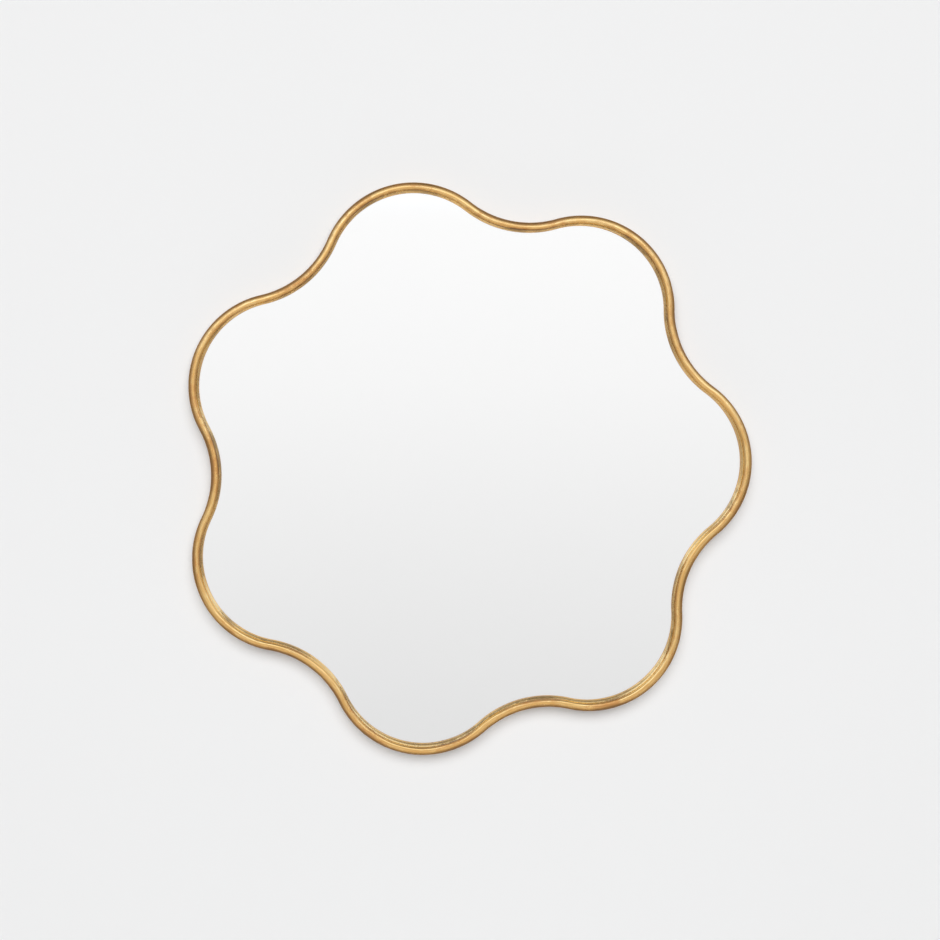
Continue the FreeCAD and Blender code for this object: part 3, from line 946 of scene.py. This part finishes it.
@dataclass
class Pane:
    """The glass, the silver coating behind it and the foam sheet that cushions both."""

    course: Course
    edge: float = 2.55 * MM
    depths: Range = (13.15 * MM, 17.2 * MM)
    arris: float = 0.5 * MM

    def build(self) -> None:
        """Make the pane and dress the layers behind it."""
        glass = ClearGlass("float_glass").make()
        made = self.course.plate(
            "glass_pane", self.edge, self.depths, self.arris, parts=1, material=glass, crease=20
        )
        settle(made, MIRROR, Slot.CLEAR_GLASS, "mirror_glass")
        dress("silver_coating", Silvering("silvering").make())
        dress("foam_sheet", FoamSkin("foam_skin").make())


def dress(node: str, material: bpy.types.Material) -> None:
    """Give a CAD node that stays its finish."""
    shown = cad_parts[node]
    shown.data.materials.clear()
    shown.data.materials.append(material)
    LOG.info("%s keeps its shape, in %s", node, material.name)


@dataclass
class Backing:
    """The fibreboard behind the pane, and the bumpers that keep it off the wall."""

    course: Course
    edge: float = 2.55 * MM
    depths: Range = (6.0 * MM, 12.0 * MM)
    eased: float = 0.6 * MM
    bumper_radius: float = 9.0 * MM
    bumper_edge: float = 1.5 * MM
    bumper_inset: float = 62.0 * MM
    bead_radius: float = 6.5 * MM
    bumper_corners: int = 64
    foot: tuple[Range, ...] = (
        (0.15 * MM, 0.72), (0.35 * MM, 0.80), (0.10 * MM, 0.86), (0.05 * MM, 1.0)
    )

    def board(self) -> None:
        """The board, sanded a little round along its edges."""
        fibres = FibreBoard("fibre_board").make()
        made = self.course.plate(
            "fibre_board", self.edge, self.depths, self.eased, parts=2, material=fibres, crease=50
        )
        settle(made, MIRROR, Slot.BOARD, "backing_board")

    def bumper(self, number: int, rubber: bpy.types.Material) -> None:
        """A moulded bumper on the line of a lobe.

        Its foot on the board has a groove, each ring of which is drawn in by a distance and
        lies at a share of the bumper's height.
        """
        middle = self.course.outline.lobe(number)
        out = self.course.outline.lobe_radius + self.bead_radius - self.bumper_inset
        place = middle + middle.normalized() * out
        radius, edge, height = self.bumper_radius, self.bumper_edge, self.depths[0]
        profile = arc((radius - edge, edge), edge, range(-90, 1, 15))
        profile += [(radius - inwards, share * height) for inwards, share in self.foot]
        corners = self.bumper_corners
        points = [
            depth_point(place.x + x, place.y + y, depth)
            for reach, depth in profile
            for x, y in arc((0, 0), reach, (360 * corner / corners for corner in range(corners)))
        ]
        faces = shell_faces(len(profile), corners)
        made = piece(f"rubber_bumper_{number + 1}", points, faces, rubber, crease=40)
        settle(made, MIRROR, Slot.BUMPER_RUBBER, f"bumper_{number + 1}")

    def build(self) -> None:
        """Make the board and its bumpers."""
        self.board()
        rubber = BumperRubber("bumper_rubber").make()
        for number in range(self.course.outline.lobes):
            self.bumper(number, rubber)


# ---------------------------------------------------------------- sheet metal

RUN_STEP = 0.8 * MM
BEND_PARTS = 8


@dataclass(frozen=True)
class Strip:
    """A strip of sheet that is bent along its length."""

    thickness: float
    width: float
    corner: float

    def bend(
        self, path: Sequence[Vector], round_start: bool, round_end: bool
    ) -> tuple[list[Vector], list[tuple[int, ...]]]:
        """Bend the strip along a path.

        Args:
            path: The middle of the sheet's thickness, as (y, z) points close together.
            round_start: Whether the corners at the path's start are rounded.
            round_end: Whether those at its end are.

        Returns:
            Points, as (x, y, z) with x across the strip, and faces.
        """
        lengths = [0.0]
        for before, after in zip(path, path[1:]):
            lengths.append(lengths[-1] + (after - before).length)
        points = []
        for number, (here, gone) in enumerate(zip(path, lengths)):
            before, after = path[max(number - 1, 0)], path[min(number + 1, len(path) - 1)]
            along = (after - before).normalized()
            side = Vector((-along.y, along.x)) * self.thickness / 2
            half = self.width / 2
            if round_start:
                half -= self.drawn_in(gone)
            if round_end:
                half -= self.drawn_in(lengths[-1] - gone)
            outer, inner = here + side, here - side
            for across, edge in ((-half, outer), (half, outer), (half, inner), (-half, inner)):
                points.append(Vector((across, edge.x, edge.y)))
        return points, shell_faces(len(path), 4)

    def drawn_in(self, distance: float) -> float:
        """How much narrower a half width is, a distance from a rounded end."""
        if distance >= self.corner:
            return 0.0
        return self.corner - math.sqrt(self.corner**2 - (self.corner - distance) ** 2)


def walk(corners: Sequence[Sequence[float]], radius: float = 0.0) -> list[Vector]:
    """Points along straight runs whose corners are bent to a radius.

    Args:
        corners: The runs' ends, as two coordinates each.
        radius: The bend radius of each corner between two runs.

    Returns:
        The points, about 0.8 mm apart on the runs and closer in the bends.
    """
    ends = [Vector(corner) for corner in corners]
    points = [ends[0]]
    for before, here, after in zip(ends, ends[1:], ends[2:]):
        back, on = (before - here).normalized(), (after - here).normalized()
        half = back.angle(on) / 2
        middle = here + (back + on).normalized() * radius / math.sin(half)
        first, last = here + back * radius / math.tan(half), here + on * radius / math.tan(half)
        start, sweep = heading(middle, first), math.pi - 2 * half
        if (first - middle).cross(last - middle) < 0:
            sweep = -sweep
        points += runs(points[-1], first)
        for part in range(1, BEND_PARTS + 1):
            angle = start + sweep * part / BEND_PARTS
            points.append(middle + Vector((math.cos(angle), math.sin(angle))) * radius)
    return points + runs(points[-1], ends[-1])


def runs(start: Vector, end: Vector) -> list[Vector]:
    """Points after the start of a straight run, up to its end."""
    count = max(1, round((end - start).length / RUN_STEP))
    return [start.lerp(end, number / count) for number in range(1, count + 1)]


@dataclass
class Screws:
    """Pan-head wood screws with a cross recess.

    A ring of the recess has a share of the recess's width and a depth below the head's top.
    """

    head_radius: float = 3.0 * MM
    head_height: float = 2.2 * MM
    head_round: float = 1.3 * MM
    crown_drop: float = 0.05 * MM
    burr: float = 0.12 * MM
    stroke: float = 1.6 * MM
    stroke_half_width: float = 0.4 * MM
    recess: tuple[Range, ...] = ((0.35, 1.2 * MM), (0.86, 0.3 * MM), (1.0, 0.04 * MM))
    rim_degrees: tuple[int, ...] = (20, 28, 36, 45, 54, 62, 70)
    shank_radius: float = 1.5 * MM
    point_radius: float = 0.25 * MM
    thread_depth: float = 0.3 * MM
    thread_pitch: float = 0.9 * MM
    thread_start: float = 1.0 * MM

    def turns(self) -> list[float]:
        """Angles of a head's points, with one at each corner of the recess."""
        edge = math.degrees(math.atan2(self.stroke_half_width, self.stroke))
        quarter = [0, edge / 2, edge, *self.rim_degrees, 90 - edge, 90 - edge / 2]
        return [math.radians(90 * number + angle) for number in range(4) for angle in quarter]

    def recess_reach(self, angle: float) -> float:
        """How far the recess's edge lies from the axis."""
        short, long = sorted((abs(math.cos(angle)), abs(math.sin(angle))))
        return min(self.stroke / long, self.stroke_half_width / max(short, 1e-9))

    def screw(self, length: float, turn: float) -> tuple[list[Vector], list[tuple[int, ...]]]:
        """One screw, its head's underside at height 0 and its point below.

        Args:
            length: Length of the shank.
            turn: How far the screw is turned, in radians.

        Returns:
            Points and faces.
        """
        angles = self.turns()
        rings = [
            ([share * self.recess_reach(angle) for angle in angles], self.head_height - down)
            for share, down in self.recess
        ]
        rim, crown = self.head_round, self.head_height - self.crown_drop
        profile = [(self.head_radius - 1.02 * rim, crown)]
        profile += arc((self.head_radius - rim, crown - rim), rim, (70, 50, 30, 10, 0))
        profile += [(self.head_radius, self.burr), (self.head_radius - self.burr, 0.0)]
        profile.append((self.shank_radius, 0.0))
        for thread in range(int((length - 2 * self.thread_start) / self.thread_pitch)):
            top = -self.thread_start - thread * self.thread_pitch
            profile.append((self.shank_radius - self.thread_depth, top))
            profile.append((self.shank_radius, top - 0.45 * self.thread_pitch))
        profile.append((self.point_radius, -length))
        rings += [([radius] * len(angles), height) for radius, height in profile]
        spin = Matrix.Rotation(turn, 3, "Z")
        points = [
            spin @ Vector((reach * math.cos(angle), reach * math.sin(angle), height))
            for reaches, height in rings
            for reach, angle in zip(reaches, angles)
        ]
        return points, shell_faces(len(rings), len(angles), turned=True)

    def fix(
        self,
        name: str,
        node: str,
        places: Sequence[Vector],
        seat: float,
        length: float,
        material: bpy.types.Material,
    ) -> None:
        """Drive a screw in at each place.

        Args:
            name: The piece's name.
            node: The CAD node that it stands for.
            places: Where the screws stand, in the wall's plane.
            seat: Depth of the heads' undersides.
            length: Length of a shank.
            material: Their finish.
        """
        chance = random.Random(node)
        points, faces = [], []
        for place in places:
            made, sides = self.screw(length, chance.uniform(0, math.pi / 2))
            start = len(points)
            points += [depth_point(place.x - v.x, place.y + v.y, seat - v.z) for v in made]
            faces += [tuple(start + number for number in side) for side in sides]
        settle(piece(name, points, faces, material, crease=38), MIRROR, Slot.ZINC_SCREW, node)


@dataclass
class Tabs:
    """The tongues of sheet that hold the board and the pane in the frame, each with a screw."""

    course: Course
    screws: Screws
    thickness: float = 1.0 * MM
    width: float = 16.0 * MM
    corner: float = 5.0 * MM
    leg: float = 9.0 * MM
    reach: float = 24.0 * MM
    hole_inset: float = 9.0 * MM
    band_inner: float = 4.5 * MM
    seat_gap: float = 0.2 * MM
    flange_back: float = 5.0 * MM
    bend: float = 1.0 * MM
    thinned: float = 0.98
    softened: float = 0.12 * MM
    screw_length: float = 6.0 * MM
    steel: PlatedMetal = PlatedMetal(
        "tab_steel", (0.62, 0.63, 0.64), (0.47, 0.48, 0.50), 0.34, spangle=0.5
    )
    zinc: PlatedMetal = PlatedMetal(
        "zinc_screw", (0.70, 0.71, 0.73), (0.50, 0.50, 0.49), 0.26, patches=220.0
    )

    def lobe_seat(self, number: int) -> Vector:
        """Where a tab stands in the hollow of a lobe."""
        middle = self.course.outline.lobe(number)
        band = self.course.outline.lobe_radius + self.band_inner
        chord = math.sqrt(band**2 - (self.width / 2) ** 2)
        return middle + middle.normalized() * (chord - self.seat_gap)

    def valley_seat(self, number: int) -> Vector:
        """Where a tab stands on the bulge of the valley after a lobe."""
        middle = self.course.outline.valley(number)
        band = self.course.outline.valley_radius - self.band_inner
        return middle - middle.normalized() * (band + self.seat_gap)

    def tab(self, kind: str, number: int, seat: Vector, metal: bpy.types.Material) -> None:
        """Bend one tab and set it at its seat.

        Args:
            kind: Whether it stands in a lobe or in a valley, as the nodes spell it.
            number: The lobe's number, from 0.
            seat: Where it stands, in the wall's plane.
            metal: Its finish.
        """
        half = self.thickness / 2
        depth = self.flange_back + half
        leg_end = -(self.flange_back + self.leg)
        path = walk([(leg_end, -half), (-depth, -half), (-depth, -self.reach)], self.bend)
        strip = Strip(self.thinned * self.thickness, self.width, self.corner)
        points, faces = strip.bend(path, round_start=False, round_end=True)
        turn = Matrix.Rotation(math.pi / 2 - heading(Vector((0, 0)), seat), 3, "Y")
        shift = depth_point(seat.x, seat.y, 0)
        placed = [turn @ point + shift for point in points]
        made = piece(f"{kind}_tab_sheet_{number + 1}", placed, faces, metal, crease=35)
        soften(made, self.softened)
        settle(made, MIRROR, Slot.TAB_STEEL, f"{kind}_tab_{number + 1}")

    def build(self) -> None:
        """Make the tabs and drive their screws."""
        metal, zinc = self.steel.make(), self.zinc.make()
        places = []
        for number in range(self.course.outline.lobes):
            for kind, seat in (
                ("lobe", self.lobe_seat(number)),
                ("valley", self.valley_seat(number)),
            ):
                self.tab(kind, number, seat, metal)
                places.append(seat - seat.normalized() * (self.reach - self.hole_inset))
        self.screws.fix(
            "tab_wood_screws", "tab_screws", places, self.flange_back, self.screw_length, zinc
        )


# ---------------------------------------------------------------- hangers

@dataclass
class Hangers:
    """Two straps folded round the bars of their D-rings, and the screws that hold them."""

    screws: Screws
    side: float = 190.0 * MM
    height: float = 175.0 * MM
    board_back: float = 6.0 * MM
    sheet: float = 0.9 * MM
    fold_gap: float = 0.04 * MM
    strap_width: float = 13.0 * MM
    strap_length: float = 48.0 * MM
    strap_corner: float = 5.0 * MM
    strap_bend: float = 1.6 * MM
    wire_radius: float = 1.5 * MM
    hinge_fit: float = 0.06 * MM
    ring_width: float = 22.0 * MM
    ring_corner: float = 4.0 * MM
    ring_side: float = 2.0 * MM
    ring_gap: float = 0.3 * MM
    wire_corners: int = 24
    softened: float = 0.14 * MM
    screw_downs: tuple[float, float] = (24.0 * MM, 40.0 * MM)
    screw_length: float = 6.8 * MM
    nickel: PlatedMetal = PlatedMetal(
        "nickel_plate", (0.72, 0.69, 0.64), (0.56, 0.53, 0.48), 0.20, patches=160.0
    )
    zinc: PlatedMetal = PlatedMetal(
        "strap_screw_zinc", (0.72, 0.72, 0.73), (0.52, 0.51, 0.50), 0.24, patches=240.0
    )

    @property
    def knuckle(self) -> float:
        """Outer radius of the strap's roll."""
        return self.wire_radius + self.hinge_fit + self.sheet

    def pivot(self, side: Side) -> Vector:
        """The middle of a ring's bar."""
        return depth_point(side.value * self.side, self.height, self.board_back - self.knuckle)

    def strap(self, side: Side, metal: bpy.types.Material) -> None:
        """A strap: up the board, round the bar and down again over itself."""
        roll = self.knuckle - self.sheet / 2
        upper = roll - self.sheet
        turns = [180 - 7.5 * part for part in range(1, 31)]
        path = walk([(-roll, -self.strap_length), (-roll, 0.0)])
        path += [Vector(point) for point in arc((0, 0), roll, turns)]
        leave = path[-1]
        meet = Vector((-upper, leave.y - (leave.x + upper)))
        path += walk([leave, meet, (-upper, -self.strap_length)], self.strap_bend)[1:]
        strip = Strip(self.sheet - self.fold_gap, self.strap_width, self.strap_corner)
        points, faces = strip.bend(path, round_start=True, round_end=True)
        placed = [point + self.pivot(side) for point in points]
        made = piece(f"folded_strap_{side.word}", placed, faces, metal, crease=35)
        soften(made, self.softened)
        settle(made, MIRROR, Slot.NICKEL_PLATE, f"hanger_strap_{side.word}")

    def lean(self) -> float:
        """Angle by which a hanging ring leans on its strap."""
        bow = self.ring_width / 2
        reach = self.ring_corner + self.ring_side + math.sqrt(bow**2 - (self.strap_width / 2) ** 2)
        off = 2 * self.sheet + self.ring_gap + self.wire_radius - self.knuckle
        return math.asin(off / reach)

    def ring(self, side: Side, metal: bpy.types.Material) -> None:
        """A D-ring of round wire: a bar, two corners, two short sides and the bow."""
        bow, corner = self.ring_width / 2, self.ring_corner
        low = corner + self.ring_side
        path = walk([(0.0, 0.0), (bow, 0.0), (bow, -low)], corner)[:-1]
        path += [Vector(point) for point in arc((0, -low), bow, range(0, -181, -5))]
        path += walk([(-bow, -low), (-bow, 0.0), (0.0, 0.0)], corner)[1:-1]
        wire = arc((0, 0), self.wire_radius, range(0, 360, 360 // self.wire_corners))
        points = []
        for number, here in enumerate(path):
            along = (path[(number + 1) % len(path)] - path[number - 1]).normalized()
            points += [
                Vector((here.x + along.y * beside, lift, here.y - along.x * beside))
                for beside, lift in wire
            ]
        turn = Matrix.Rotation(self.lean(), 3, "X")
        placed = [turn @ point + self.pivot(side) for point in points]
        faces = ring_faces(len(path), self.wire_corners, closed=True)
        made = piece(f"wire_ring_{side.word}", placed, faces, metal, crease=60)
        settle(made, f"ring_{side.word}", Slot.NICKEL_PLATE, f"hanger_ring_{side.word}")

    def build(self) -> None:
        """Make both hangers and drive their screws."""
        nickel, zinc = self.nickel.make(), self.zinc.make()
        places = []
        for side in Side:
            self.strap(side, nickel)
            self.ring(side, nickel)
            places += [
                Vector((side.value * self.side, self.height - down)) for down in self.screw_downs
            ]
        seat = self.board_back - 2 * self.sheet
        self.screws.fix(
            "strap_wood_screws", "hanger_screws", places, seat, self.screw_length, zinc
        )


# ---------------------------------------------------------------- studio

@dataclass(frozen=True)
class Softbox:
    """A soft lamp in front of the wall, aimed at the mirror."""

    name: str
    place: tuple[float, float, float]
    size: tuple[float, float]
    watts: float
    spread: float


@dataclass
class Studio:
    """The wall, the floor, the lamps, the sky round them and the camera."""

    course: Course
    wall_half: float = 3.2
    wall_y: float = 0.3 * MM
    hole_inset: float = 2.0 * MM
    floor_z: float = -2.9
    floor_front: float = 1.3
    floor_back: float = 3.4
    image_width: float = 940 * 1.601 * MM
    bead_plane: float = 23.9 * MM
    camera_distance: float = 2.2
    camera_x: float = -0.05
    camera_z: float = 0.08
    image_x: float = 13.5 * MM
    image_z: float = -4.5 * MM
    sensor: float = 36.0
    lamps: tuple[Softbox, ...] = (
        Softbox("front_lamp", (0.0, -8.0, 0.0), (6.8, 2.6), 88.0, 110.0),
        Softbox("high_lamp", (0.0, -20.0, 11.4), (30.0, 15.4), 4650.0, 180.0),
    )
    sky_peak: float = 2.7
    sky_by_height: tuple[tuple[float, Colour], ...] = (
        (0.0, (0.50, 0.48, 0.46)),
        (0.05, (0.80, 0.78, 0.75)),
        (0.17, (0.92, 0.90, 0.88)),
        (0.3875, (0.80, 0.80, 0.80)),
        (0.4225, (0.845, 0.845, 0.845)),
        (0.47, (0.905, 0.905, 0.905)),
        (0.513, (0.965, 0.965, 0.965)),
        (0.573, (1.02, 1.02, 1.02)),
        (0.63, (1.33, 1.42, 1.62)),
        (0.69, (1.66, 2.02, 2.66)),
        (0.77, (1.34, 1.56, 1.95)),
        (0.85, (0.90, 0.97, 1.08)),
        (0.93, (0.50, 0.50, 0.50)),
        (1.0, (0.28, 0.27, 0.26)),
    )
    sky_by_side: tuple[float, float, float] = (0.30, 0.98, 0.60)
    wall_blend: float = 0.05
    wall_light: float = 0.06
    back_light: float = 0.9

    def wall(self) -> None:
        """The wall: a plate with a hole behind the mirror, which lets light reach its back."""
        half = self.wall_half
        inner = [s.at(-self.hole_inset, -self.wall_y) for s in self.course.stations]
        count = len(inner)
        outer = []
        for point in inner:
            scale = half / max(abs(point.x), abs(point.z))
            outer.append(Vector((point.x * scale, point.y, point.z * scale)))
        faces = [
            (count + n, count + (n + 1) % count, (n + 1) % count, n) for n in range(count)
        ]
        paint = PaintedWall("wall_paint").make()
        piece("studio_wall", inner + outer, faces, paint, crease=180)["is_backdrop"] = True

    def floor(self) -> None:
        """The floor, from the wall out into the room and a little behind it."""
        near, far, half = -self.floor_front, self.floor_back, self.wall_half
        corners = [(-half, near), (half, near), (half, far), (-half, far)]
        points = [Vector((x, y, self.floor_z)) for x, y in corners]
        pale = PaleFloor("pale_floor").make()
        piece("studio_floor", points, [(0, 1, 2, 3)], pale, crease=180)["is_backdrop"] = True

    def sky(self) -> None:
        """The room's light, by direction: bright above the camera, dim to the sides and below."""
        world = bpy.data.worlds.new("studio_light")
        bpy.context.scene.world = world
        world.use_nodes = True
        shader = Shader(world.node_tree)
        towards = shader.node("ShaderNodeTexCoord", output="Generated")
        side, depth, up = (shader.part(towards, axis) for axis in "XYZ")
        stops = [(place, shade(light, 1 / self.sky_peak)) for place, light in self.sky_by_height]
        by_height = shader.node("ShaderNodeValToRGB", {"stops": stops}, {0: 0.5 * up + 0.5})
        low, high, dim = self.sky_by_side
        aside = shader.ease(side.size(), low, high)
        behind = shader.ease(depth, -self.wall_blend, self.wall_blend)
        front = self.sky_peak * (1 - (1 - dim) * aside) * (1 - behind)
        lit = self.wall_light * (1 - behind) + self.back_light * behind
        camera, glossy, through = (
            shader.ray(f"Is {kind} Ray") for kind in ("Camera", "Glossy", "Transmission")
        )
        direct = camera.maths("MAXIMUM", camera, glossy.maths("MAXIMUM", glossy, through))
        bounced = shader.ray("Diffuse Depth")
        direct = direct * bounced.maths("LESS_THAN", bounced, 0.5)
        plain = lit * (1 - direct) + self.back_light * behind * direct
        room = shader.node("ShaderNodeBackground", None, {0: by_height, 1: front * direct})
        even = shader.node("ShaderNodeBackground", None, {0: (1, 1, 1, 1), 1: plain})
        both = shader.node("ShaderNodeAddShader", None, {0: room, 1: even})
        shader.node("ShaderNodeOutputWorld", None, {"Surface": both})
        world.cycles.sampling_method = "NONE"

    def lamp(self, box: Softbox) -> None:
        """Hang one lamp, aimed at the middle of the mirror."""
        light = bpy.data.lights.new(box.name, "AREA")
        light.shape = "ELLIPSE"
        light.size, light.size_y = box.size
        light.energy = box.watts
        light.spread = math.radians(box.spread)
        made = bpy.data.objects.new(box.name, light)
        made.location = box.place
        made.rotation_mode = "QUATERNION"
        made.rotation_quaternion = (-Vector(box.place)).to_track_quat("-Z", "Y")
        made.visible_camera = False
        made.visible_glossy = False
        made.visible_transmission = False
        bpy.context.scene.collection.objects.link(made)

    def camera(self) -> None:
        """The camera: square to the wall, a little left of and above the middle."""
        data = bpy.data.cameras.new("camera")
        data.sensor_width = self.sensor
        data.lens = self.sensor * self.camera_distance / self.image_width
        data.shift_x = (self.image_x - self.camera_x) / self.image_width
        data.shift_y = (self.image_z - self.camera_z) / self.image_width
        made = bpy.data.objects.new("camera", data)
        made.location = depth_point(
            self.camera_x, self.camera_z, self.camera_distance + self.bead_plane
        )
        made.rotation_euler = (math.pi / 2, 0, 0)
        bpy.context.scene.collection.objects.link(made)
        bpy.context.scene.camera = made

    def build(self) -> None:
        """Set the studio up."""
        self.wall()
        self.floor()
        self.sky()
        for box in self.lamps:
            self.lamp(box)
        self.camera()
        bpy.context.scene.view_settings.view_transform = "Standard"
        LOG.info("studio set up with %d lamps", len(self.lamps))


def main() -> None:
    """Build the mirror, then the studio, and work out both boxes."""
    course = Course()
    screws = Screws()
    Frame(course).build()
    Pane(course).build()
    Backing(course).build()
    Tabs(course, screws).build()
    Hangers(screws).build()
    Studio(course).build()
    boxes = {"cad": CAD_BOX, "visual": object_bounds()}
    {name: [list(corner) for corner in box] for name, box in boxes.items()}


if __name__ == "__main__":
    logging.basicConfig(level=logging.INFO, format="%(name)s: %(message)s")
    main()
